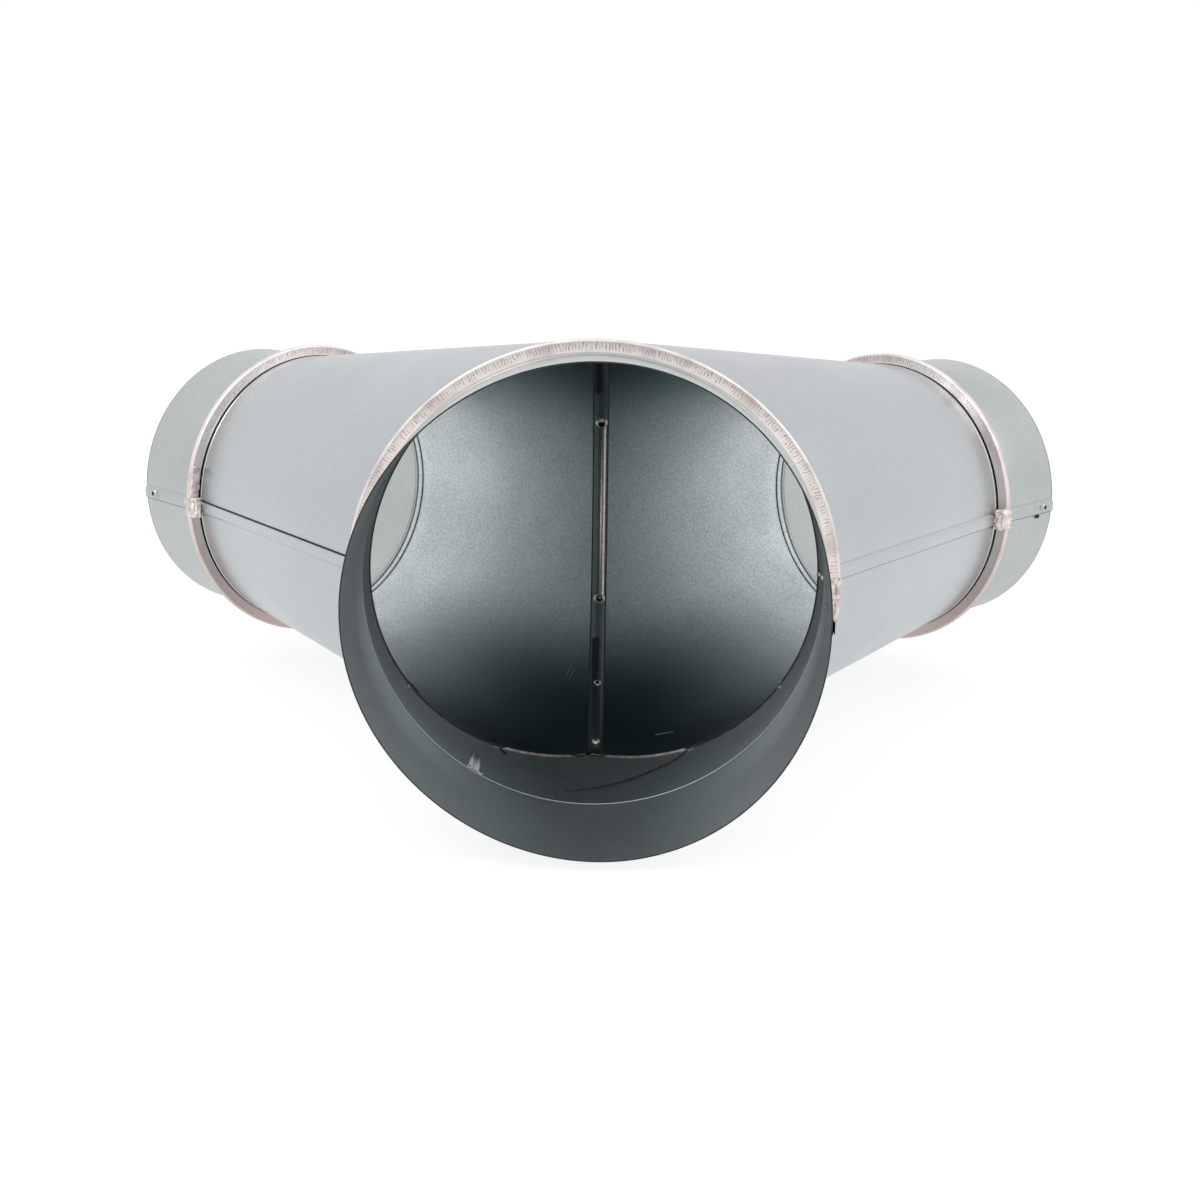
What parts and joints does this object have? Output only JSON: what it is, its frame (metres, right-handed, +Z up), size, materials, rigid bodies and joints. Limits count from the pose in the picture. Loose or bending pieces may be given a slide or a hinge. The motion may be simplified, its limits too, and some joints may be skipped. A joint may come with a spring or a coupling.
{
  "type": "duct y branch",
  "caption": "Galvanised sheet-metal duct Y branch whose round inlet collar splits through a mitred neck into tapered legs that end in round outlet collars.",
  "frame": {"origin": "centre of the inlet rim", "axes": "+Y into the fitting along the inlet axis, +Z up, +X to the right; the inlet axis and both branch axes lie in z = 0"},
  "size_m": [0.5108, 0.3706, 0.213],
  "materials": {
    "galvanised_sheet": "galvanised, satin, fine grain"
  },
  "bodies": {
    "root": {"inlet_collar": "galvanised_sheet", "inlet_neck": "galvanised_sheet", "left_branch": "galvanised_sheet", "right_branch": "galvanised_sheet", "left_outlet_collar": "galvanised_sheet", "right_outlet_collar": "galvanised_sheet"}
  },
  "joints": []
}
